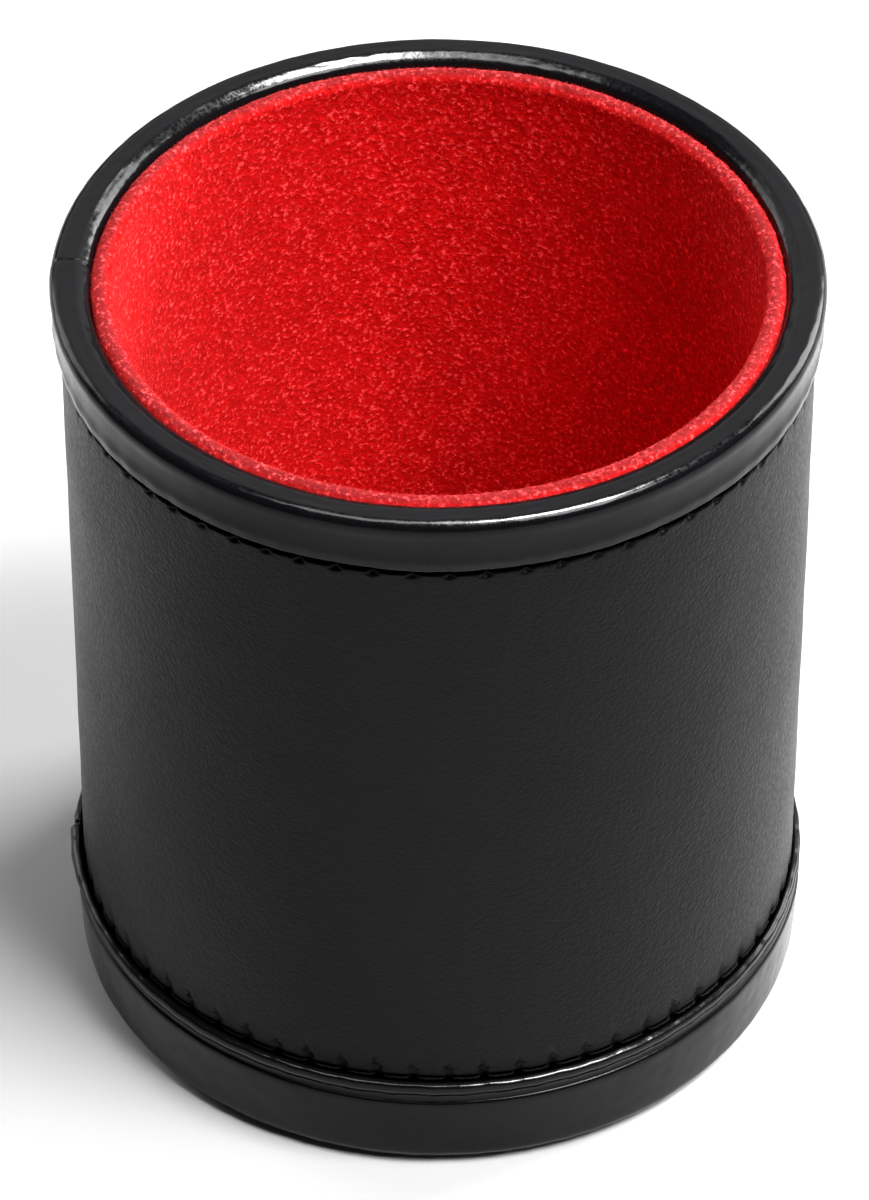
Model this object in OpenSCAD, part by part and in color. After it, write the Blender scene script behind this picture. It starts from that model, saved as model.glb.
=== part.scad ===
// Straight-sided dice cup: a leatherette-covered paperboard tube with a velvet-lined card sleeve inside.
// The origin is the centre of the underside, +Z runs up to the mouth, and -Y is the front.
// Every sheet is a band of even thickness bent along a path in the (radius, height) plane.

/* [Cup] */
// Height over all, in mm
cup_height = 95; // [85:1:110]
// Outer radius of the leatherette on the wall
wall_r = 40.6; // [38:0.2:46]
// Distance of the upper seam below the rim
rim_seam_drop = 6.5; // [5.5:0.5:9]
// Height of the lower seam above the underside
base_seam_height = 13; // [11:0.5:16]

/* [Sheets] */
// Thickness of the leatherette on the wall
wrap_t = 0.8; // [0.6:0.1:1]
// Thickness of the thinner leatherette strips at the rim and the base
strip_t = 0.36; // [0.3:0.02:0.4]
// Wall thickness of the paperboard tube
tube_t = 2; // [1.8:0.1:2.2]
// Thickness of the card sleeve behind the velvet
card_t = 0.7; // [0.5:0.1:0.7]
// Thickness of the velvet, pile and backing
velvet_t = 0.6; // [0.5:0.05:0.6]

/* [Base] */
// Thickness of the board cap that closes the foot of the tube
cap_t = 1.3; // [1.1:0.05:1.4]
// Thickness of the felt disc on the board
felt_t = 2; // [1:0.5:3]
// Thickness of the card disc under the floor velvet
floor_card_t = 1; // [0.6:0.1:1.5]
// Thickness of the leatherette disc under the cup
cover_t = 0.6; // [0.4:0.1:0.8]
// Distance of that disc's edge inside the wall
cover_inset = 2; // [2:0.1:8]

/* [Seams] */
// Number of stitches round each seam
stitch_count = 65; // [40:1:70]
// Thread diameter
thread_d = 0.3; // [0.2:0.05:0.35]
// Length of one stitch that shows
stitch_len = 2.6; // [1.5:0.1:3]
// Direction of the upright joint, in degrees from +X towards +Y
joint_angle = 177.5; // [90:0.5:270]
// Width of the joint between the two ends of a sheet
joint_gap = 0.36; // [0.3:0.02:0.5]

/* [Hidden] */
$fn = 96;

// Film of glue between two sheets
glue = 0.05;
leather = [0.11, 0.11, 0.115];
board = [0.62, 0.5, 0.36];
velvet = [0.72, 0.03, 0.04];
thread = [0.04, 0.04, 0.04];
felt = [0.72, 0.72, 0.7];

// Radii, from the outside in
tube_r = wall_r - wrap_t;
bore_r = tube_r - tube_t;
rim_leg_r = bore_r - 0.4;
sleeve_r = rim_leg_r - strip_t / 2 - 0.12 - velvet_t;
cup_r = sleeve_r - glue - card_t - glue - velvet_t;

// Heights, from the underside up
under_z = cover_t + 0.02 + strip_t / 2;
foot_z = under_z + strip_t / 2 + glue;
sleeve_z = foot_z + cap_t + glue;
pad_top_z = sleeve_z + felt_t;
floor_z = pad_top_z + glue + floor_card_t + glue;

// The rim strip's path: seam allowance, turned fold, side, corner, flat top, inner slope, inner leg
rim_seam_z = cup_height - rim_seam_drop;
rim_allowance = 2.3;
rim_fold_r = strip_t / 2 + 0.03;
rim_corner_r = 1;
rim_leg_z = cup_height - 9;
allowance_r = wall_r + 0.02 + strip_t / 2;

// The cap's wall stops short of the seam, leans in a little towards the base and has rounded edges
cap_top_z = base_seam_height - 3;
cap_r = tube_r + cap_t;
cap_lean = 0.35;
cap_edge_r = 0.32;
cap_corner_r = 1.2;
cap_edge = [cap_r - cap_edge_r, cap_top_z - cap_edge_r];
cap_corner = [cap_r - cap_lean - cap_corner_r, foot_z + cap_corner_r];

// The base strip's path: seam allowance, turned fold, hollow over the cap, edge, side, corner, leg under
base_allowance = 1.85;
base_fold_r = strip_t / 2 + 0.2;
base_leg_r = 31;
strip_on_cap = glue + strip_t / 2;

// The velvet is rolled over the top edge of its card sleeve
roll_drop = 0.8;
roll_r = (card_t + 2 * glue + velvet_t) / 2;
roll_z = cup_height - roll_drop - roll_r - velvet_t / 2;
roll_centre_r = sleeve_r - glue - card_t / 2;
velvet_hem_z = cup_height - 11;

// Points of an arc of radius r about the centre c, from angle a to angle b
function arc(c, r, a, b, steps = 8) =
    [for (i = [0:steps]) let (t = a + (b - a) * i / steps) c + r * [cos(t), sin(t)]];

// Unit vector square to the path p at point i, on its left side
function side(p, i) =
    let (q = p[min(i + 1, len(p) - 1)] - p[max(i - 1, 0)])
    [-q[1], q[0]] / norm(q);

// Outline of a band of thickness t that follows the path p
function band(p, t) = concat(
    [for (i = [0:len(p) - 1]) p[i] + side(p, i) * t / 2],
    [for (i = [len(p) - 1:-1:0]) p[i] - side(p, i) * t / 2]);

rim_path = concat(
    [[allowance_r, rim_seam_z + rim_allowance]],
    arc([allowance_r + rim_fold_r, rim_seam_z + 0.35], rim_fold_r, 180, 360),
    [[allowance_r + 2 * rim_fold_r, rim_seam_z + rim_allowance - 0.3],
     [allowance_r + 0.28, rim_seam_z + rim_allowance + 0.7],
     [allowance_r + 0.36, cup_height - 2.2]],
    arc([allowance_r + 0.52 - rim_corner_r, cup_height - strip_t / 2 - rim_corner_r], rim_corner_r, 0, 90),
    [[bore_r + 1.3, cup_height - strip_t / 2 - 0.05],
     [rim_leg_r + 0.45, cup_height - 0.68]],
    arc([rim_leg_r + 0.4, cup_height - 1.1], 0.4, 120, 180, 3),
    [[rim_leg_r, rim_leg_z]]);

base_path = concat(
    [[allowance_r, base_seam_height - base_allowance]],
    arc([allowance_r + base_fold_r, base_seam_height - strip_t / 2 - base_fold_r], base_fold_r, 180, 0),
    [[allowance_r + 2 * base_fold_r, base_seam_height - 1.3],
     [allowance_r + 2 * base_fold_r - 0.2, base_seam_height - 1.85],
     [allowance_r + 0.3, base_seam_height - 2.2],
     [min(allowance_r + 0.18, cap_r - 0.12), base_seam_height - 2.5]],
    arc(cap_edge, cap_edge_r + strip_on_cap, 60, 0),
    arc(cap_corner, cap_corner_r + strip_on_cap, 0, -90),
    [[base_leg_r, under_z]]);

cap_outline = concat(
    [[0, foot_z]],
    arc(cap_corner, cap_corner_r, -90, 0),
    arc(cap_edge, cap_edge_r, 0, 90),
    [[tube_r, cap_top_z], [tube_r, foot_z + cap_t], [0, foot_z + cap_t]]);

velvet_path = concat(
    [[roll_centre_r - roll_r, sleeve_z]],
    arc([roll_centre_r, roll_z], roll_r, 180, 0, 12),
    [[roll_centre_r + roll_r, velvet_hem_z]]);

// Turns a section right round the cup
module turned(section) {
    rotate_extrude() polygon(section);
}

// Turns a section round the cup and leaves the upright joint open
module turned_with_joint(section) {
    gap_angle = joint_gap / wall_r * 180 / PI;
    rotate([0, 0, joint_angle + gap_angle / 2])
        rotate_extrude(angle = 360 - gap_angle) polygon(section);
}

module tube(outer_r, inner_r, z0, z1) {
    turned([[inner_r, z0], [outer_r, z0], [outer_r, z1], [inner_r, z1]]);
}

module disc(r, z0, t) {
    translate([0, 0, z0]) cylinder(r = r, h = t);
}

// One row of stitches that lie in a seam at height z, half a pitch clear of the upright joint
module stitch_ring(z) {
    pitch = 360 / stitch_count;
    sweep = stitch_len / wall_r * 180 / PI;
    for (i = [0:stitch_count - 1])
        rotate([0, 0, joint_angle + (i + 0.5) * pitch - sweep / 2])
            rotate_extrude(angle = sweep)
                translate([wall_r + 0.02 + thread_d / 2, z]) circle(d = thread_d, $fn = 24);
}

module core_tube() {
    color(board) tube(tube_r - glue, bore_r, sleeve_z, cup_height - 1.15);
}

module base_cap() {
    color(board) turned(cap_outline);
}

module body_wrap() {
    foot = cap_top_z + 0.2;
    head = cup_height - 0.75;
    color(leather) turned_with_joint([[tube_r, foot], [wall_r, foot], [wall_r, head], [tube_r, head]]);
}

module side_stitches() {
    pitch = 2 * PI * wall_r / stitch_count;
    first = base_seam_height + 1.5;
    room = rim_seam_z - 1.5 - first;
    count = floor(room / pitch);
    color(thread)
        rotate([0, 0, joint_angle])
            for (i = [0:count - 1])
                translate([wall_r - thread_d / 2, 0, first + (room - count * pitch) / 2 + (i + 0.5) * pitch])
                    cylinder(d = thread_d, h = stitch_len, center = true, $fn = 24);
}

module rim_trim() {
    color(leather) turned_with_joint(band(rim_path, strip_t));
}

module rim_stitches() {
    color(thread) stitch_ring(rim_seam_z - thread_d / 2 - 0.05);
}

module base_trim() {
    color(leather) turned_with_joint(band(base_path, strip_t));
}

module base_stitches() {
    color(thread) stitch_ring(base_seam_height + thread_d / 2 + 0.05);
}

module base_cover() {
    color(leather) disc(wall_r - cover_inset, 0, cover_t);
}

module lining_card() {
    color(board) tube(sleeve_r - glue, sleeve_r - glue - card_t, sleeve_z, roll_z);
}

module lining_wall() {
    color(velvet) turned(band(velvet_path, velvet_t));
}

module floor_pad() {
    color(felt) disc(cup_r - glue, sleeve_z, felt_t);
}

module floor_card() {
    color(board) disc(cup_r - glue, pad_top_z + glue, floor_card_t);
}

module lining_floor() {
    color(velvet) disc(cup_r - glue, floor_z, velvet_t);
}

core_tube();
base_cap();
body_wrap();
side_stitches();
rim_trim();
rim_stitches();
base_trim();
base_stitches();
base_cover();
lining_card();
lining_wall();
floor_pad();
floor_card();
lining_floor();
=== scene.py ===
import math

import bpy
import numpy as np
from mathutils import Matrix, Vector


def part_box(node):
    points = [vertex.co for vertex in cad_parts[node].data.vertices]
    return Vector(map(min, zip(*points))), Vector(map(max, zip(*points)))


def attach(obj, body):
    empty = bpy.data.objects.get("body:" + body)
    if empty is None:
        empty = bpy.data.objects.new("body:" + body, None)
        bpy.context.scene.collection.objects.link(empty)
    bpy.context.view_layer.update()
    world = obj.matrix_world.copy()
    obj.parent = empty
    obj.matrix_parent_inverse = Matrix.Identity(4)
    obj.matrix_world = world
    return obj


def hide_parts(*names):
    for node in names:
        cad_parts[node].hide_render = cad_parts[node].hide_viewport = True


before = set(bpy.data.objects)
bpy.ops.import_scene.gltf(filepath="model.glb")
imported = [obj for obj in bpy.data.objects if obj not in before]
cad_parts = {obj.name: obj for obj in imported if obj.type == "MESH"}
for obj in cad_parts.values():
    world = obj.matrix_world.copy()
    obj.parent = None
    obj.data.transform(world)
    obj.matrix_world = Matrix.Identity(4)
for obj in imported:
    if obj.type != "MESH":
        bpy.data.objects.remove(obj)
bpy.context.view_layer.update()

# Lengths in this script are in millimetres until a mesh or a light is made from them.
MM = 0.001

# ---------------------------------------------------------------- sizes, from the frame


def extent(node):
    """(outer radius, lowest, highest) of a round CAD node, in millimetres."""
    low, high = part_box(node)
    return high.x / MM, low.z / MM, high.z / MM


GLUE = 0.05              # film between two glued sheets, and gap between a row of stitches and its fold
STRIP_T = 0.36           # leatherette strips
WRAP_T = 0.8             # leatherette on the wall
TUBE_T = 2.0             # paperboard tube
VELVET_T = 0.6           # velvet, pile and backing
STITCHES = 65            # round each seam
STEPS = 12               # mesh columns from one needle hole to the next
JOINT = math.radians(177.5)   # where the two ends of every sheet meet
VALLEY = 1.12            # how far the wall's valley reaches below the rim seam at the front and the back
VALLEY_SIDES = 0.55      # and how much further at the two sides

wall_r, wrap_foot, wrap_head = extent("body_wrap")
top_z = extent("rim_trim")[2]
rim_leg_foot = extent("rim_trim")[1]
rim_seam_z = extent("rim_stitches")[2] + GLUE
base_seam_z = extent("base_stitches")[1] - GLUE
cap_r, foot_z, cap_top_z = extent("base_cap")
velvet_out_r, velvet_foot, velvet_top = extent("lining_wall")
cup_r, floor_foot, floor_z = extent("lining_floor")
cover_r, _, cover_t = extent("base_cover")
tube_r = extent("core_tube")[0]
bore_r = tube_r + GLUE - TUBE_T

PITCH = 2 * math.pi / STITCHES

# ---------------------------------------------------------------- outlines and turned sheets


def arc(centre, r, start, end, steps=8):
    """Points along an arc, from angle start to angle end in degrees."""
    a = np.radians(np.linspace(start, end, steps + 1))
    return [(centre[0] + r * math.cos(t), centre[1] + r * math.sin(t)) for t in a]


def spaced(points, step):
    """The same path with a point about every step along it."""
    p = np.array(points, float)
    s = np.concatenate([[0], np.cumsum(np.linalg.norm(np.diff(p, axis=0), axis=1))])
    at = np.linspace(0, s[-1], max(2, int(round(s[-1] / step)) + 1))
    return np.stack([np.interp(at, s, p[:, 0]), np.interp(at, s, p[:, 1])], 1)


def eased(points, rounds=2):
    """The path with its corners cut, so that a bend is round."""
    p = np.array(points, float)
    for _ in range(rounds):
        q = np.empty((2 * len(p) - 2, 2))
        q[0::2] = 0.75 * p[:-1] + 0.25 * p[1:]
        q[1::2] = 0.25 * p[:-1] + 0.75 * p[1:]
        p = np.concatenate([p[:1], q, p[-1:]])
    return p


def join(*runs):
    """One path from runs that start where the last one ended."""
    out = [np.asarray(runs[0], float)]
    for r in runs[1:]:
        r = np.asarray(r, float)
        out.append(r[1:] if np.linalg.norm(r[0] - out[-1][-1]) < 1e-3 else r)
    return np.concatenate(out)


def left_of(path):
    """Unit vectors square to the path, on its left."""
    t = np.gradient(path, axis=0)
    t /= np.linalg.norm(t, axis=1)[:, None]
    return np.stack([-t[:, 1], t[:, 0]], 1)


def band(path, thick, back_every=2):
    """Outline of a sheet along the path: (points, the path point that each belongs to). Its right side
    is the face that shows, and the left one has fewer points."""
    n = left_of(path)
    back = np.arange(0, len(path), back_every)
    if back[-1] != len(path) - 1:
        back = np.append(back, len(path) - 1)
    back = back[::-1]
    pts = np.concatenate([path - n * thick / 2, path[back] + n[back] * thick / 2])
    return pts, np.concatenate([np.arange(len(path)), back])


def round_angles(count, fine_at=None, fine_width=0.0, fine_count=0):
    """Angles once round the cup, closer together at one place if asked."""
    a = JOINT + np.arange(count) * 2 * math.pi / count
    if fine_at is not None:
        extra = fine_at + np.linspace(-fine_width, fine_width, fine_count)
        a = np.concatenate([a, extra])
    a = np.unique(np.round(np.mod(a, 2 * math.pi), 7))
    return a


def finish_mesh(name, verts, faces, material, replaced=()):
    """A smooth mesh object in the row frame that rides on the cup. verts are in millimetres."""
    mesh = bpy.data.meshes.new(name)
    mesh.from_pydata((np.asarray(verts) * MM).tolist(), [], [list(map(int, f)) for f in faces])
    mesh.update()
    mesh.polygons.foreach_set("use_smooth", np.ones(len(mesh.polygons), bool))
    piece = bpy.data.objects.new(name, mesh)
    bpy.context.scene.collection.objects.link(piece)
    mesh.materials.append(material)
    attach(piece, "root")
    if replaced:
        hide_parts(*replaced)
    return piece


def turned(name, outline, angles, bend, material, replaced=()):
    """Turns a closed outline round the cup. bend(angle, k) gives how far point k of the outline moves
    out and up at each angle, as two arrays."""
    pts = np.asarray(outline, float)
    m, n = len(angles), len(pts)
    out, up = bend(angles[:, None], np.arange(n)[None, :])
    r = pts[None, :, 0] + out
    z = pts[None, :, 1] + up
    x = r * np.cos(angles)[:, None]
    y = r * np.sin(angles)[:, None]
    xyz = np.stack([x, y, z + 0 * r], 2).reshape(-1, 3)
    i, k = np.meshgrid(np.arange(m), np.arange(n), indexing="ij")
    i2, k2 = (i + 1) % m, (k + 1) % n
    quads = np.stack([i * n + k, i * n + k2, i2 * n + k2, i2 * n + k], 2).reshape(-1, 4)
    area = 0.5 * (pts[:, 0] * np.roll(pts[:, 1], -1) - np.roll(pts[:, 0], -1) * pts[:, 1]).sum()
    if area > 0:
        quads = quads[:, ::-1]
    return finish_mesh(name, xyz, quads, material, replaced)


# ---------------------------------------------------------------- unevenness


def near(x, at, width):
    """1 at one place, falling to 0 over about width on both sides."""
    return np.exp(-(((x - at) / width) ** 2))


def step_up(x, start, end):
    """From 0 at start to 1 at end, smoothly."""
    t = np.clip((x - start) / (end - start), 0, 1)
    return t * t * (3 - 2 * t)


def from_joint(angle):
    """Distance round the wall from the upright joint, in millimetres: positive on the front's side."""
    d = np.mod(angle - JOINT + math.pi, 2 * math.pi) - math.pi
    return d * wall_r


def from_hole(angle):
    """Distance from the nearest needle hole, in pitches: 0 at the hole, and -0.5 or 0.5 halfway."""
    return np.mod((angle - JOINT) / PITCH + 0.5, 1.0) - 0.5


def along_stitch(angle):
    """From -0.5 at one needle hole to 0.5 at the next."""
    return np.mod((angle - JOINT) / PITCH, 1.0) - 0.5


def hole_random(angle, seed):
    """A number from -1 to 1 for each needle hole, which changes smoothly to the next hole's."""
    table = np.random.default_rng(seed).uniform(-1, 1, STITCHES)
    x = (angle - JOINT) / PITCH
    k = np.floor(x).astype(int)
    share = step_up(x - k, 0.2, 0.8)
    return table[k % STITCHES] * (1 - share) + table[(k + 1) % STITCHES] * share


class Waves:
    """Smooth unevenness round the cup: a sum of waves between two wavelengths, about -1 to 1."""

    def __init__(self, seed, shortest, longest, count=24, upright=1.0):
        r = np.random.default_rng(seed)
        length = np.exp(r.uniform(math.log(shortest), math.log(longest), count))
        way = r.uniform(0, 2 * math.pi, count)
        self.turns = np.round(2 * math.pi * wall_r / length * np.cos(way))
        self.rise = 2 * math.pi / length * np.sin(way) * upright
        self.phase = r.uniform(0, 2 * math.pi, count)
        self.size = math.sqrt(2.0 / count) * 0.6

    def __call__(self, angle, height):
        total = 0.0
        for turns, rise, phase in zip(self.turns, self.rise, self.phase):
            total = total + np.sin(turns * angle + rise * height + phase)
        return total * self.size


# ---------------------------------------------------------------- node materials


class Nodes:
    """A material's node tree, written as calls."""

    def __init__(self, name):
        self.material = bpy.data.materials.new(name)
        self.material.use_nodes = True
        self.tree = self.material.node_tree
        self.shader = self.tree.nodes["Principled BSDF"]
        self.place = self.add("ShaderNodeTexCoord").outputs["Object"]
        # the textures' own grid is tilted, so that no line of it runs straight up the cup's wall
        tilt = {"Vector": self.place, "Rotation": (0.7, 0.5, 0.3)}
        self.tilted = self.add("ShaderNodeMapping", tilt).outputs["Vector"]

    def add(self, kind, links=None, **settings):
        """A new node, with the given inputs and settings."""
        node = self.tree.nodes.new(kind)
        for key, value in settings.items():
            setattr(node, key, value)
        for socket, value in (links or {}).items():
            self.set(node.inputs[socket], value)
        return node

    def set(self, socket, value):
        """Links a socket's value, or sets it if it is a plain one."""
        if isinstance(value, bpy.types.NodeSocket):
            self.tree.links.new(value, socket)
        else:
            socket.default_value = value

    def noise(self, size, detail=2.0, rough=0.5, place=None, warp=0.0):
        """Noise from 0 to 1 whose blobs are about size millimetres across."""
        links = {"Vector": place or self.tilted, "Scale": 0.6 / (size * MM), "Detail": detail,
                 "Roughness": rough, "Distortion": warp}
        return self.add("ShaderNodeTexNoise", links).outputs["Fac"]

    def cells(self, size, feature="F1"):
        """Distance inside irregular cells about size millimetres across."""
        links = {"Vector": self.tilted, "Scale": 1.0 / (size * MM)}
        return self.add("ShaderNodeTexVoronoi", links, feature=feature).outputs["Distance"]

    def span(self, value, low, high, to_low=0.0, to_high=1.0):
        """The value eased from one range to another."""
        links = {"Value": value, "From Min": low, "From Max": high, "To Min": to_low, "To Max": to_high}
        return self.add("ShaderNodeMapRange", links, interpolation_type="SMOOTHSTEP").outputs["Result"]

    def math(self, operation, a, b):
        """Arithmetic on two values."""
        node = self.add("ShaderNodeMath", operation=operation)
        self.set(node.inputs[0], a)
        self.set(node.inputs[1], b)
        return node.outputs[0]

    def blend(self, share, a, b):
        """Colour a where share is 0, and colour b where it is 1."""
        node = self.add("ShaderNodeMix", data_type="RGBA")
        self.set(node.inputs["Factor"], share)
        self.set(node.inputs[6], a)
        self.set(node.inputs[7], b)
        return node.outputs[2]

    def bump(self, height, depth, normal=None):
        """Bump whose height runs over depth millimetres."""
        links = {"Height": height, "Distance": depth * MM, "Strength": 1.0}
        if normal is not None:
            links["Normal"] = normal
        return self.add("ShaderNodeBump", links).outputs["Normal"]

    def use(self, **sockets):
        """Sets the shader's sockets, and gives the finished material."""
        for key, value in sockets.items():
            self.set(self.shader.inputs[key.replace("_", " ")], value)
        return self.material


def painted_seam_shade(n):
    """A mask of painted shade: 0 in the valleys beside the two seams, whose gloss it takes away so that
    they look black, else 1.
    """
    at = n.add("ShaderNodeSeparateXYZ", {"Vector": n.place}).outputs
    sideways = n.math("DIVIDE", at["X"], wall_r * MM)
    lower = n.math("MULTIPLY", n.math("MULTIPLY", sideways, sideways), VALLEY_SIDES * MM)
    height = n.math("ADD", at["Z"], lower)
    foot = rim_seam_z - VALLEY
    below_fold = n.span(height, (foot - 0.03) * MM, (foot + 0.12) * MM, 1.0, 0.0)
    above_bead = n.span(at["Z"], (base_seam_z + 0.35) * MM, (base_seam_z + 0.55) * MM)
    return n.math("MULTIPLY", below_fold, above_bead)


def leather(name, colour, grain, grain_depth, roughness, gloss, wear=0.2, sewn=False):
    """Leatherette: irregular grain with creases between the pebbles, and slightly polished high spots. The
    grain's size and depth are in millimetres. sewn paints shade into the valleys beside the seams by
    taking their gloss away."""
    n = Nodes(name)
    pebbles = n.noise(grain, 3.0, 0.55, warp=0.6)
    creases = n.span(n.cells(grain * 1.7, "DISTANCE_TO_EDGE"), 0.0, 0.22)
    fine = n.noise(grain * 0.4, 2.0, 0.6)
    patches = n.noise(14.0, 3.0, 0.55)
    high = n.math("ADD", n.math("MULTIPLY", pebbles, 0.75), n.math("MULTIPLY", creases, 0.25))
    relief = n.math("ADD", n.math("MULTIPLY", high, 0.8), n.math("MULTIPLY", fine, 0.2))
    tone = n.math("ADD", n.math("MULTIPLY", high, 0.5), n.math("MULTIPLY", patches, 0.5))
    dark = tuple(c * (1 - wear) for c in colour) + (1,)
    light = tuple(c * (1 + wear) for c in colour) + (1,)
    rough = n.math("ADD", n.span(high, 0.3, 0.8, roughness + 0.06, roughness - 0.05),
                   n.span(patches, 0.3, 0.7, -0.03, 0.03))
    # painted shade: the wall's gloss is taken away in the seam valleys, so they show black
    if sewn:
        n.use(Specular_IOR_Level=n.math("MULTIPLY", painted_seam_shade(n), gloss))
    else:
        n.shader.inputs["Specular IOR Level"].default_value = gloss
    return n.use(Base_Color=n.blend(n.span(tone, 0.3, 0.75), dark, light),
                 Roughness=rough, Normal=n.bump(relief, grain_depth))


def velvet(name, deep, middle, tip, sheen_deep, sheen_middle):
    """Short pile: tufts that lean this way and that, and single tips painted a light red as painted
    glints. Over the rolled edge the pile is painted a darker, pinkish red, a painted sheen."""
    n = Nodes(name)
    tufts = n.noise(0.34, 2.0, 0.6, warp=0.2)
    tips = n.noise(0.22, 1.0)
    clumps = n.noise(1.6, 3.0, 0.6)
    brushed = n.noise(11.0, 2.0, 0.5)
    lean = n.math("ADD", n.math("MULTIPLY", tufts, 0.6),
                  n.math("ADD", n.math("MULTIPLY", clumps, 0.2), n.math("MULTIPLY", brushed, 0.2)))
    leaning = n.span(lean, 0.38, 0.64)
    height = n.add("ShaderNodeSeparateXYZ", {"Vector": n.place}).outputs["Z"]
    # painted sheen: over the rolled edge the pile's colour turns darker and pinkish
    rolled = n.span(height, (velvet_top - 0.5) * MM, (velvet_top + 0.1) * MM)
    closed_pile = n.blend(leaning, deep + (1,), middle + (1,))
    painted_sheen_pile = n.blend(leaning, sheen_deep + (1,), sheen_middle + (1,))
    pile = n.blend(rolled, closed_pile, painted_sheen_pile)
    # painted glints: single tips get a light colour of their own
    painted_glint = n.math("ADD", n.math("MULTIPLY", tufts, 0.65), n.math("MULTIPLY", tips, 0.35))
    painted_glint = n.span(painted_glint, 0.53, 0.67)
    n.shader.inputs["Sheen Weight"].default_value = 0.12
    n.shader.inputs["Sheen Roughness"].default_value = 0.4
    n.shader.inputs["Sheen Tint"].default_value = (1.0, 0.2, 0.2, 1)
    n.shader.inputs["Specular IOR Level"].default_value = 0.05
    return n.use(Base_Color=n.blend(painted_glint, pile, tip + (1,)),
                 Roughness=n.span(tufts, 0.3, 0.7, 0.95, 0.8),
                 Normal=n.bump(tufts, 0.2, n.bump(clumps, 0.15)))


def board(name, colour):
    """Raw greyboard: short fibres pressed flat, and specks."""
    n = Nodes(name)
    flat = n.add("ShaderNodeMapping", {"Vector": n.place, "Scale": (1, 1, 3.5)}).outputs["Vector"]
    fibres = n.noise(1.1, 5.0, 0.7, flat)
    specks = n.span(n.cells(1.7), 0.0, 0.16, 0.55, 1.0)
    shade = n.math("MULTIPLY", n.span(fibres, 0.3, 0.7, 0.8, 1.1), specks)
    deep = tuple(0.6 * c for c in colour) + (1,)
    return n.use(Base_Color=n.blend(shade, deep, colour + (1,)),
                 Roughness=n.span(fibres, 0.3, 0.7, 0.85, 0.95),
                 Normal=n.bump(fibres, 0.05))


def felt(name, colour):
    """Pressed felt: matted wool fibres in two greys."""
    n = Nodes(name)
    mat = n.noise(0.7, 6.0, 0.75, warp=1.2)
    cloud = n.noise(5.0, 2.0)
    shade = n.span(n.math("ADD", mat, n.math("MULTIPLY", cloud, 0.3)), 0.45, 0.85)
    deep = tuple(0.55 * c for c in colour) + (1,)
    return n.use(Base_Color=n.blend(shade, deep, colour + (1,)),
                 Roughness=n.span(mat, 0.3, 0.7, 0.9, 1.0), Normal=n.bump(mat, 0.15))


def waxed_thread(name, colour):
    """Waxed polyester thread: filaments along the ply."""
    n = Nodes(name)
    filaments = n.noise(0.09, 2.0)
    light = tuple(2.2 * c for c in colour) + (1,)
    return n.use(Base_Color=n.blend(filaments, colour + (1,), light),
                 Roughness=n.span(filaments, 0.3, 0.7, 0.5, 0.7), Normal=n.bump(filaments, 0.015),
                 Specular_IOR_Level=0.05)


def pale_floor(name, colour):
    """A matt floor, almost even."""
    n = Nodes(name)
    cloud = n.noise(160.0, 2.0)
    deep = tuple(0.985 * c for c in colour) + (1,)
    return n.use(Base_Color=n.blend(cloud, deep, colour + (1,)),
                 Roughness=n.span(cloud, 0.3, 0.7, 0.9, 0.95), Specular_IOR_Level=0.0)


# sewn=True paints shade into the valleys beside the seams
grained_leather = leather("grained_leather", (0.0012, 0.0012, 0.0018), grain=0.5, grain_depth=0.085,
                          roughness=0.38, gloss=0.1, sewn=True)
smooth_leather = leather("smooth_leather", (0.003, 0.003, 0.0037), grain=0.38, grain_depth=0.008,
                         roughness=0.17, gloss=0.12)
# tip colours the painted glints; the last two colours paint a sheen over the rolled edge
red_velvet = velvet("velvet", deep=(0.42, 0.0002, 0.0004), middle=(0.62, 0.002, 0.003),
                    tip=(0.9, 0.072, 0.078), sheen_deep=(0.2, 0.006, 0.0075),
                    sheen_middle=(0.29, 0.011, 0.0125))
greyboard = board("paperboard", (0.34, 0.23, 0.13))
grey_felt = felt("felt", (0.45, 0.45, 0.43))
black_thread = waxed_thread("thread", (0.002, 0.002, 0.0022))

# ---------------------------------------------------------------- leatherette on the wall


def hole_dents(angle, height, seam, way):
    """How far the wall is drawn in at the needle holes just outside a seam, from 0 to about 1. way is -1
    below the rim seam and +1 above the base seam."""
    along = (from_hole(angle) + 0.05 * hole_random(angle, 5)) * PITCH * wall_r
    drop = (height - seam) * way
    flank = 1.25          # a dent keeps its depth down to here, and then ends in a slanting tip
    tip = np.maximum(flank + 0.55 - 0.6 * np.abs(along + 0.2), flank + 0.05)
    slot = near(along, 0.0, 0.46) * step_up(drop, tip, flank)
    uneven = 0.85 + 0.2 * hole_random(angle, 6)
    return slot * step_up(drop, -0.6, -0.1) * uneven


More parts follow.
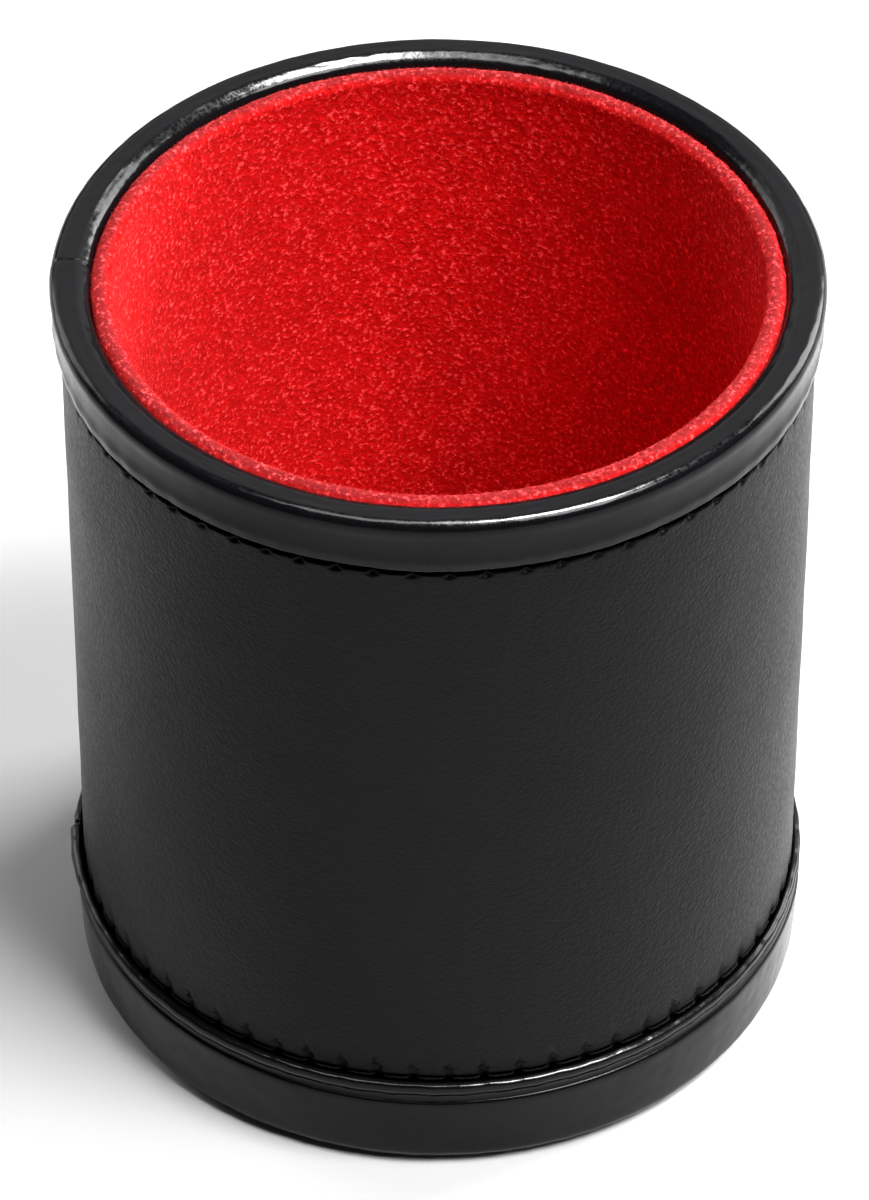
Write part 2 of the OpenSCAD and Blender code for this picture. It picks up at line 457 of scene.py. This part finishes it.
def body_wrap():
    """The leatherette round the wall, with close rows of points by the seams and wide ones between."""
    rows = np.unique(np.concatenate([
        np.arange(wrap_foot + 0.2, base_seam_z - 0.4, 0.8),
        np.arange(base_seam_z - 0.4, base_seam_z + 2.0, 0.12),
        np.arange(base_seam_z + 2.0, rim_seam_z - 2.2, 2.1),
        np.arange(rim_seam_z - 2.2, rim_seam_z + 0.4, 0.12),
        np.arange(rim_seam_z + 0.4, wrap_head - 0.2, 0.8), [wrap_head - 0.2]]).round(3))
    face = [(wall_r, z) for z in rows]
    edge = 0.12
    head = [(wall_r - edge, wrap_head), (wall_r - WRAP_T, wrap_head)]
    inside = [(wall_r - WRAP_T, z) for z in np.linspace(wrap_head - 4, wrap_foot + 4, 12)]
    foot = [(wall_r - WRAP_T, wrap_foot), (wall_r - edge, wrap_foot)]
    outline = np.array([foot[1]] + face + head + inside + foot[:1])
    shown = (outline[:, 0] > wall_r - 0.01).astype(float)
    soft = Waves(31, 9, 60)
    puckers = Waves(32, 2.5, 7)
    rim_valley, rim_holes = 0.58, 0.6        # how far the wall is drawn in beside each seam
    base_valley, base_holes = 0.5, 0.45

    def bend(angle, k):
        z = outline[k, 1]
        d = from_joint(angle)
        at_seam = np.maximum(near(z, rim_seam_z, 3.0), near(z, base_seam_z, 3.0))
        out = 0.035 * soft(angle, z) + 0.03 * at_seam * puckers(angle, z)
        lower = VALLEY_SIDES * np.cos(angle) ** 2
        under_fold = step_up(z + lower, rim_seam_z - VALLEY, rim_seam_z - VALLEY + 0.3)
        under_dents = hole_dents(angle, z + lower, rim_seam_z, -1)
        out = out - np.maximum(rim_valley * under_fold, rim_holes * under_dents)
        over_bead = step_up(z, base_seam_z + 0.8, base_seam_z + 0.15)
        over_dents = hole_dents(angle, z, base_seam_z + 0.4, 1)
        out = out - np.maximum(base_valley * over_bead, base_holes * over_dents)
        # the upright joint is a groove between two soft shoulders, wider where a stitch dives
        shoulder = 0.1 * near(np.abs(d), 1.0, 1.1)
        ladder = 0.5 + 0.5 * np.cos(2 * math.pi * (z - base_seam_z) / (PITCH * wall_r))
        dive = ladder ** 4
        groove = (0.42 + 0.14 * dive) * near(d, 0.0, 0.2 + 0.1 * dive)
        out = out + shoulder - groove
        return out * shown[k], 0.0 * out

    angles = round_angles(STITCHES * STEPS, JOINT, 1.6 / wall_r, 33)
    piece = turned("wall_leatherette", outline, angles, bend, grained_leather,
                   ["body_wrap"])


# ---------------------------------------------------------------- the strip at the rim

sewn_r = wall_r + 0.02 + STRIP_T / 2


def rim_path():
    """The strip's middle line, from its sewn edge up over the rim and down inside."""
    fold_r = 0.13
    leg_r = bore_r - 0.4
    z = rim_seam_z
    turn = arc((sewn_r + fold_r, z + fold_r + STRIP_T / 2), fold_r, 180, 360, 10)
    side = eased([turn[-1], (sewn_r + 0.33, z + 0.85), (sewn_r + 0.40, z + 1.2), (sewn_r + 0.35, z + 1.5),
                  (sewn_r + 0.27, z + 2.2), (sewn_r + 0.28, z + 3.0), (sewn_r + 0.36, top_z - 2.4),
                  (sewn_r + 0.5, top_z - 1.5)])
    corner_r = 1.0
    crown_z = top_z - STRIP_T / 2
    corner = arc((sewn_r + 0.52 - corner_r, crown_z - corner_r), corner_r, 0, 90, 12)
    crown = eased([corner[-1], (bore_r + 1.6, crown_z - 0.03), (bore_r + 1.0, crown_z - 0.03),
                   (bore_r + 0.62, crown_z - 0.2), (bore_r + 0.05, top_z - 0.66),
                   (leg_r + 0.12, top_z - 1.06), (leg_r, top_z - 1.8)])
    leg = [crown[-1], (leg_r, rim_leg_foot)]
    return join(spaced([(sewn_r, z + 2.2), turn[0]], 0.6), turn, spaced(side, 0.25), corner,
                spaced(crown, 0.17), spaced(leg, 0.9))


def rim_strip():
    """The leatherette strip over the rim. Its fold swells between the needle holes, its inner slope is
    gathered, and its two ends lap at the upright joint."""
    path = rim_path()
    outline, of_path = band(path, STRIP_T, 4)
    mid = path[of_path]
    across = left_of(path)[of_path]
    soft = Waves(41, 6, 40)
    small = Waves(42, 1.6, 5)
    gathers = Waves(43, 0.9, 2.6, upright=0.15)
    ridge_way = Waves(44, 8, 50)

    def bend(angle, k):
        r, z = mid[k, 0], mid[k, 1]
        u = from_hole(angle) + 0.05 * hole_random(angle, 5)
        d = from_joint(angle)
        # parts of the section, each 1 on its part and 0 elsewhere
        low = step_up(z, rim_seam_z + 2.4, rim_seam_z + 0.3) * step_up(r, sewn_r + 0.1, sewn_r + 0.35)
        fold = step_up(z, rim_seam_z + 0.9, rim_seam_z)
        side = step_up(z, top_z - 1.6, top_z - 2.6)
        crown = step_up(z, top_z - 1.2, top_z - 0.5)
        inner = step_up(r, bore_r + 0.9, bore_r + 0.2) * step_up(z, top_z - 4.0, top_z - 1.4)
        # between two holes the fold swells, and its edge slants from one hole to the next
        swell = 0.08 * low * (np.cos(2 * math.pi * u) * -0.5 + 0.3 * hole_random(angle, 7))
        slant = fold * (0.08 * along_stitch(angle) + 0.04 * hole_random(angle, 8))
        lump = 0.05 * near(u, -0.14, 0.1) * near(z, rim_seam_z + 0.55, 0.4) * low
        # a faint crease runs round where the flat top ends
        crease_r = bore_r + 1.0 + 0.1 * ridge_way(angle, 0.0)
        crease = 0.03 * near(r, crease_r, 0.16) * (0.6 + 0.6 * small(angle, 0.0)) * crown
        flat = 0.02 * soft(angle, z) + 0.012 * small(angle, 3.0 * r)
        push = flat + 0.03 * side * soft(angle, z) + inner * 0.01 * gathers(angle, z)
        # at the joint there is a notch, and the strip's end beyond it stands a little proud
        notch = (0.22 - 0.12 * crown) * near(d, 0.0, 0.22)
        proud = 0.08 * step_up(d, 0.0, 0.3) * step_up(d, 7.0, 1.0)
        normal_push = -(push + crease + proud - notch)
        out = normal_push * across[k, 0] + swell + lump
        up = normal_push * across[k, 1] + slant
        return out, up

    angles = round_angles(STITCHES * STEPS, JOINT, 1.2 / wall_r, 21)
    piece = turned("rim_leatherette", outline, angles, bend, smooth_leather,
                   ["rim_trim"])


# ---------------------------------------------------------------- the strip at the base


def base_path():
    """The strip's middle line, from its sewn edge over the fold, down over the cap and under the base."""
    z = base_seam_z
    fold_r = STRIP_T / 2 + 0.2
    out_r = sewn_r + 2 * fold_r
    turn = arc((sewn_r + fold_r, z - STRIP_T / 2 - fold_r), fold_r, 180, 0, 12)
    edge_r = 0.32
    edge = arc((cap_r - edge_r, cap_top_z - edge_r), edge_r + GLUE + STRIP_T / 2, 60, 0, 6)
    hollow = eased([turn[-1], (out_r, z - 0.95), (out_r - 0.14, z - 1.35), (out_r - 0.42, z - 1.7),
                    (sewn_r + 0.17, z - 2.1), (sewn_r + 0.15, z - 2.45), edge[0]], rounds=3)
    corner_r = 1.2
    lean = 0.35
    corner_centre = (cap_r - lean - corner_r, foot_z + corner_r)
    corner = arc(corner_centre, corner_r + GLUE + STRIP_T / 2, 0, -90, 12)
    side = spaced([edge[-1], corner[0]], 0.45)
    leg_end_r = 31.0
    leg = spaced([corner[-1], (leg_end_r, corner[-1][1])], 1.0)
    allowance = spaced([(sewn_r, z - 1.85), turn[0]], 0.6)
    return join(allowance, turn, spaced(hollow, 0.2), edge, side, corner, leg)


def base_strip():
    """The leatherette strip round the base, with a bead over the cap's edge and gathers underneath."""
    path = base_path()[::-1]
    outline, of_path = band(path, STRIP_T, 4)
    mid = path[of_path]
    across = left_of(path)[of_path]
    soft = Waves(51, 7, 45)
    small = Waves(52, 2.0, 6)
    gathers = Waves(53, 1.2, 3.5, upright=0.1)

    def bend(angle, k):
        r, z = mid[k, 0], mid[k, 1]
        u = from_hole(angle) + 0.05 * hole_random(angle, 9)
        d = from_joint(angle)
        bead = step_up(z, base_seam_z - 2.6, base_seam_z - 1.2) * step_up(r, sewn_r + 0.1, sewn_r + 0.4)
        fold = step_up(z, base_seam_z - 0.9, base_seam_z - 0.1)
        swell = bead * (-0.03 * np.cos(2 * math.pi * u) + 0.03 * hole_random(angle, 10))
        slant = fold * (-0.05 * along_stitch(angle) + 0.03 * hole_random(angle, 11))
        side = step_up(z, base_seam_z - 2.8, base_seam_z - 3.6)
        under = step_up(z, 2.0, 1.0) * step_up(r, cap_r + 0.3, cap_r - 1.4)
        push = 0.025 * soft(angle, z) + 0.015 * side * small(angle, z) + 0.05 * under * gathers(angle, r)
        ledge = 0.05 * near(z, cap_top_z, 0.9) * soft(angle, 40.0)
        # beyond a notch the strip's upper end stands proud as a lip, and a small knob is left before it
        notch = near(d, 1.15, 0.22)
        lip = step_up(d, 1.3, 2.0) * step_up(d, 15.0, 4.0)
        knob = near(d, -0.3, 0.8)
        lap = -0.32 * notch + (0.42 * lip + 0.16 * knob) * bead
        # the bead lies flatter towards the cup's right side
        flatter = 0.22 * bead * (0.5 + 0.5 * np.cos(angle))
        normal_push = -(push + lap - flatter)
        out = normal_push * across[k, 0] + swell + ledge
        up = normal_push * across[k, 1] + slant
        return out, np.where(z < 1.2, np.maximum(up, 0.0), up)

    angles = round_angles(STITCHES * STEPS, JOINT + 0.6 / wall_r, 1.6 / wall_r, 27)
    piece = turned("base_leatherette", outline, angles, bend, smooth_leather,
                   ["base_trim"])


def base_disc():
    """The leatherette disc under the base, with a cut edge that is slightly rounded."""
    edge = 0.14
    ring = list(np.linspace(cover_r - 1.2, 1.5, 26))
    under = [(r, 0.0) for r in ring]
    over = [(r, cover_t) for r in ring[::-1][::3]] + [(cover_r - 0.02, cover_t)]
    rim = [(cover_r, cover_t - 0.05), (cover_r, edge), (cover_r - 0.05, edge / 3), (cover_r - edge, 0.0)]
    outline = np.array(over + rim + under)
    soft = Waves(61, 9, 50)
    lying = (outline[:, 1] < 0.2).astype(float)

    def bend(angle, k):
        r = outline[k, 0]
        out = 0.05 * soft(angle, 0.0) * near(r, cover_r, 1.0)
        up = lying[k] * (0.05 + 0.05 * soft(angle, r)) * step_up(r, cover_r - 1.0, cover_r - 6.0)
        return out, np.maximum(up, 0.0)

    piece = turned("base_disc", outline, round_angles(360), bend, grained_leather,
                   ["base_cover"])


# ---------------------------------------------------------------- stitches


def thread_run(points, thick, sides=6, turns=2.2):
    """Two plies twisted round each other along points: (vertices, faces), with closed ends."""
    p = np.asarray(points, float)
    t = np.gradient(p, axis=0)
    t /= np.linalg.norm(t, axis=1)[:, None]
    ref = p / np.linalg.norm(p * (1, 1, 0), axis=1)[:, None] * (1, 1, 0)
    a = np.cross(t, ref)
    a /= np.linalg.norm(a, axis=1)[:, None]
    b = np.cross(t, a)
    rings = len(p)
    verts, faces = [], []
    ply_r = thick * 0.29
    from_middle = thick * 0.21
    for ply in (0.0, math.pi):
        twist = ply + np.linspace(0, turns * 2 * math.pi, rings)
        c = p + (np.cos(twist)[:, None] * a + np.sin(twist)[:, None] * b) * from_middle
        first = len(verts)
        for j in range(rings):
            for q in range(sides):
                g = 2 * math.pi * q / sides
                verts.append(c[j] + (math.cos(g) * a[j] + math.sin(g) * b[j]) * ply_r)
        for j in range(rings - 1):
            for q in range(sides):
                q2 = (q + 1) % sides
                w = first + j * sides
                faces.append((w + q, w + q2, w + sides + q2, w + sides + q))
        faces.append(tuple(first + q for q in reversed(range(sides))))
        faces.append(tuple(first + (rings - 1) * sides + q for q in range(sides)))
    return verts, faces


def many_runs(name, runs, thick, replaced):
    """One object from many short lengths of thread."""
    verts, faces = [], []
    for run in runs:
        v, f = thread_run(run, thick)
        base = len(verts)
        verts += v
        faces += [tuple(base + i for i in face) for face in f]
    return finish_mesh(name, verts, faces, black_thread, replaced)


def seam_stitches(name, height, way, seed, replaced):
    """Stitches that lie in a seam's valley and dive into a needle hole at both ends. way is -1 below the
    rim seam and +1 above the base seam."""
    r = np.random.default_rng(seed)
    runs = []
    for k in range(STITCHES):
        first = JOINT + (k + 1) * PITCH
        wobble = r.uniform(-0.03, 0.03, 2)
        run = []
        for s in np.linspace(0.04, 0.96, 17):
            dive = 0.75 * (near(s, 0.0, 0.12) + near(s, 1.0, 0.12))
            a = first + s * PITCH
            rr = wall_r - 0.12 * way - dive
            hang = 0.14 * (near(s, 0.0, 0.16) + near(s, 1.0, 0.16))
            z = height + way * (0.12 + hang) + wobble[0] + (wobble[1] - wobble[0]) * s
            run.append((rr * math.cos(a), rr * math.sin(a), z))
        runs.append(run)
    return many_runs(name, runs, 0.3, replaced)


def joint_stitches():
    """The ladder of stitches down the wall's upright joint."""
    pitch = PITCH * wall_r
    count = int((rim_seam_z - base_seam_z - 1.5) / pitch)
    start = base_seam_z + 0.5
    side = np.array([-math.sin(JOINT), math.cos(JOINT), 0])
    away = np.array([math.cos(JOINT), math.sin(JOINT), 0])
    runs = []
    for k in range(count):
        run = []
        for s in np.linspace(0.05, 0.95, 15):
            dive = 0.5 * (near(s, 0.0, 0.14) + near(s, 1.0, 0.14))
            z = start + (k + s) * pitch
            run.append(away * (wall_r - 0.32 - dive) + side * (0.12 * (s - 0.5)) + np.array([0, 0, z]))
        runs.append(run)
    return many_runs("joint_thread", runs, 0.26, ["side_stitches"])


# ---------------------------------------------------------------- velvet


def lining():
    """Velvet down the inside, rolled over the card sleeve's top edge. The roll is a little uneven."""
    roll_r = (velvet_out_r - VELVET_T - cup_r - GLUE) / 2
    centre = (cup_r + GLUE + VELVET_T / 2 + roll_r, velvet_top - roll_r - VELVET_T / 2)
    inner = centre[0] - roll_r
    outer = centre[0] + roll_r
    wall = np.array([(inner, z) for z in np.concatenate([
        np.linspace(velvet_foot, centre[1] - 8, 92), np.arange(centre[1] - 7.7, centre[1] - 0.01, 0.3)])])
    roll = arc(centre, roll_r, 180, 0, 22)
    hem = spaced([(outer, centre[1]), (outer, top_z - 11)], 0.9)
    path = join(wall, roll, hem)
    outline, of_path = band(path[::-1], VELVET_T, 7)
    flip = left_of(path[::-1])[of_path]
    mid = path[::-1][of_path]
    pile_side = np.concatenate([np.ones(len(path)), np.zeros(len(outline) - len(path))])
    tufts = Waves(71, 0.75, 1.6, 40)
    clumps = Waves(72, 2.0, 7.0, 30)
    soft = Waves(73, 9.0, 40.0)

    def bend(angle, k):
        r, z = mid[k, 0], mid[k, 1]
        top = step_up(z, centre[1] - 1.5, centre[1] + 0.2)
        pile = 0.05 * tufts(angle, z + r) + 0.035 * clumps(angle, z) * (1 - 0.5 * top)
        butt = 0.25 * near(from_joint(angle), 0.0, 0.35) * step_up(r, centre[0], inner)
        push = pile_side[k] * (pile - butt)
        puff = top * (0.05 + 0.035 * soft(angle, 10.0))
        return -(push + puff) * flip[k, 0], -(push + puff) * flip[k, 1]

    piece = turned("velvet_wall", outline, round_angles(570), bend, red_velvet,
                   ["lining_wall"])


def roll_fuzz():
    """Pile fibres that stand out from the velvet's rolled edge: thin three-sided spikes."""
    roll_r = (velvet_out_r - cup_r - GLUE) / 2
    centre_r = (velvet_out_r + cup_r + GLUE) / 2
    centre_z = velvet_top - roll_r
    r = np.random.default_rng(74)
    count = 15000
    around = r.uniform(0, 2 * math.pi, count)
    over = np.radians(r.uniform(18, 205, count))
    down = np.where(over > math.pi, r.uniform(0, 2.5, count), 0.0)
    lean_round = r.normal(0, 0.45, count)
    lean_over = over + r.normal(0, 0.4, count)
    length = r.uniform(0.16, 0.36, count)
    thick = r.uniform(0.022, 0.036, count)
    out = np.stack([np.cos(around), np.sin(around), 0 * around], 1)
    round_way = np.stack([-np.sin(around), np.cos(around), 0 * around], 1)
    up = np.array([0, 0, 1.0])

    root_r = roll_r - 0.02
    foot_r = centre_r + root_r * np.cos(over)
    foot_height = centre_z + root_r * np.sin(over) - down
    foot = out * foot_r[:, None] + up * foot_height[:, None]
    way = out * np.cos(lean_over)[:, None] + up * np.sin(lean_over)[:, None]
    way = way + round_way * lean_round[:, None]
    way /= np.linalg.norm(way, axis=1)[:, None]
    side = np.cross(way, round_way)
    side /= np.linalg.norm(side, axis=1)[:, None]
    third = np.cross(way, side)
    verts = np.empty((count, 4, 3))
    for j in range(3):
        turn = 2 * math.pi * j / 3
        verts[:, j] = foot + (side * math.cos(turn) + third * math.sin(turn)) * thick[:, None]
    verts[:, 3] = foot + way * length[:, None]
    first = np.arange(count)[:, None] * 4
    faces = np.concatenate([first + f for f in ([0, 1, 3], [1, 2, 3], [2, 0, 3], [0, 2, 1])])
    finish_mesh("velvet_fuzz", verts.reshape(-1, 3), faces, red_velvet)


def floor_disc():
    """Velvet on the floor, turned up a little where it meets the wall."""
    ring = list(np.arange(1.2, cup_r - 0.3, 0.5))
    rim = [(cup_r - 0.05, floor_foot), (cup_r, floor_z - 0.2), (cup_r - 0.1, floor_z - 0.03)]
    top = [(r, floor_z) for r in ring[::-1]]
    under = [(r, floor_foot) for r in ring[::6]]
    outline = np.array(rim + top + under)
    tufts = Waves(81, 0.8, 1.8, 40)
    clumps = Waves(82, 2.5, 8.0)
    pile_side = (outline[:, 1] > floor_foot + 0.1).astype(float)

    def bend(angle, k):
        r, z = outline[k, 0], outline[k, 1]
        x = angle * r / wall_r
        push = 0.045 * tufts(x, r) + 0.03 * clumps(x, r)
        lift = 0.3 * step_up(r, cup_r - 2.5, cup_r)
        inside = step_up(r, 1.0, 6.0)
        return 0.0 * push, pile_side[k] * (push * inside + lift)

    piece = turned("velvet_floor", outline, round_angles(300), bend, red_velvet,
                   ["lining_floor"])


# ---------------------------------------------------------------- make the cup

body_wrap()
rim_strip()
base_strip()
base_disc()
seam_stitches("rim_thread", rim_seam_z, -1, 91, ["rim_stitches"])
seam_stitches("base_thread", base_seam_z, 1, 92, ["base_stitches"])
joint_stitches()
lining()
roll_fuzz()
floor_disc()

for node, material in (("core_tube", greyboard), ("base_cap", greyboard), ("lining_card", greyboard),
                       ("floor_card", greyboard), ("floor_pad", grey_felt)):
    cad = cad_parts[node]
    cad.data.materials.clear()
    cad.data.materials.append(material)

# ---------------------------------------------------------------- floor, light and camera


def studio_floor():
    """A wide flat floor, a hair below the cup's underside."""
    half = 3.0
    corners = [(-half, -half, 0), (half, -half, 0), (half, half, 0), (-half, half, 0)]
    mesh = bpy.data.meshes.new("floor")
    mesh.from_pydata(corners, [], [(0, 1, 2, 3)])
    mesh.materials.append(pale_floor("pale_floor", (0.55, 0.55, 0.55)))
    floor = bpy.data.objects.new("floor", mesh)
    floor.location.z = -0.02 * MM
    bpy.context.scene.collection.objects.link(floor)


def softbox(name, azimuth, rise, away, width, height, watts, only_gloss=False):
    """A soft light that faces the cup. azimuth, counted from +X, and rise are in degrees, and the rest in
    metres and watts. only_gloss makes it a card that shows in glossy surfaces and lights nothing else."""
    a, e = math.radians(azimuth), math.radians(rise)
    place = away * Vector((math.cos(e) * math.cos(a), math.cos(e) * math.sin(a), math.sin(e)))
    light = bpy.data.lights.new(name, "AREA")
    light.shape = "RECTANGLE"
    light.size = width
    light.size_y = height
    light.energy = watts
    lamp = bpy.data.objects.new(name, light)
    lamp.location = place
    aim = Vector((0, 0, 60 * MM))
    lamp.rotation_euler = (aim - place).to_track_quat("-Z", "Y").to_euler()
    lamp.visible_diffuse = not only_gloss
    bpy.context.scene.collection.objects.link(lamp)


def studio_world(seen, lighting):
    """A dark room: seen is its grey where the camera looks past the floor, and lighting its strength as a
    source of light."""
    world = bpy.data.worlds.new("studio")
    world.use_nodes = True
    tree = world.node_tree
    tree.nodes.clear()
    ray = tree.nodes.new("ShaderNodeLightPath")
    glow = tree.nodes.new("ShaderNodeBackground")
    glow.inputs["Color"].default_value = (lighting,) * 3 + (1,)
    back = tree.nodes.new("ShaderNodeBackground")
    back.inputs["Color"].default_value = (seen,) * 3 + (1,)
    mix = tree.nodes.new("ShaderNodeMixShader")
    out = tree.nodes.new("ShaderNodeOutputWorld")
    tree.links.new(ray.outputs["Is Camera Ray"], mix.inputs["Fac"])
    tree.links.new(glow.outputs[0], mix.inputs[1])
    tree.links.new(back.outputs[0], mix.inputs[2])
    tree.links.new(mix.outputs[0], out.inputs["Surface"])
    bpy.context.scene.world = world


def camera():
    """A long lens that looks down at the cup from the front."""
    rim_centre = Vector((0, 0, top_z * MM))
    rise = math.radians(39.1)      # of the line from the rim's centre to the camera
    away = 0.7181
    place = rim_centre + away * Vector((0, -math.cos(rise), math.sin(rise)))
    sensor, lens = 36.0, 201.795
    data = bpy.data.cameras.new("camera")
    data.sensor_fit = "VERTICAL"
    data.sensor_height = sensor
    data.lens = lens
    data.clip_end = 20
    # how far the rim's centre stands from the middle of the picture, as shares of the picture's height
    right, above = 0.0032083, 0.2748333
    look = (rim_centre - place).normalized()
    side = Vector((1, 0, 0))
    up = side.cross(look)
    pitch = math.atan2(above * sensor, lens)
    yaw = math.atan2(right * sensor, lens)
    axis = (Matrix.Rotation(yaw, 3, up) @ Matrix.Rotation(-pitch, 3, side)) @ look
    cam = bpy.data.objects.new("camera", data)
    cam.location = place
    cam.rotation_euler = axis.to_track_quat("-Z", "Y").to_euler()
    bpy.context.scene.collection.objects.link(cam)
    bpy.context.scene.camera = cam


studio_floor()
studio_world(seen=0.8, lighting=0.03)
softbox("key", -34, 61, away=1.4, width=0.6, height=0.6, watts=38)
softbox("over", 4, 77, away=1.4, width=0.34, height=0.38, watts=150, only_gloss=True)
softbox("ceiling", 205, 82, away=1.4, width=0.46, height=0.62, watts=18, only_gloss=True)
softbox("right_back", 35, 30, away=1.2, width=0.5, height=0.8, watts=28)
softbox("left_back", 145, 25, away=1.2, width=0.4, height=0.8, watts=6)
softbox("backdrop", 90, 38, away=1.7, width=2.6, height=1.2, watts=12)
camera()
bpy.context.scene.view_settings.view_transform = "Standard"
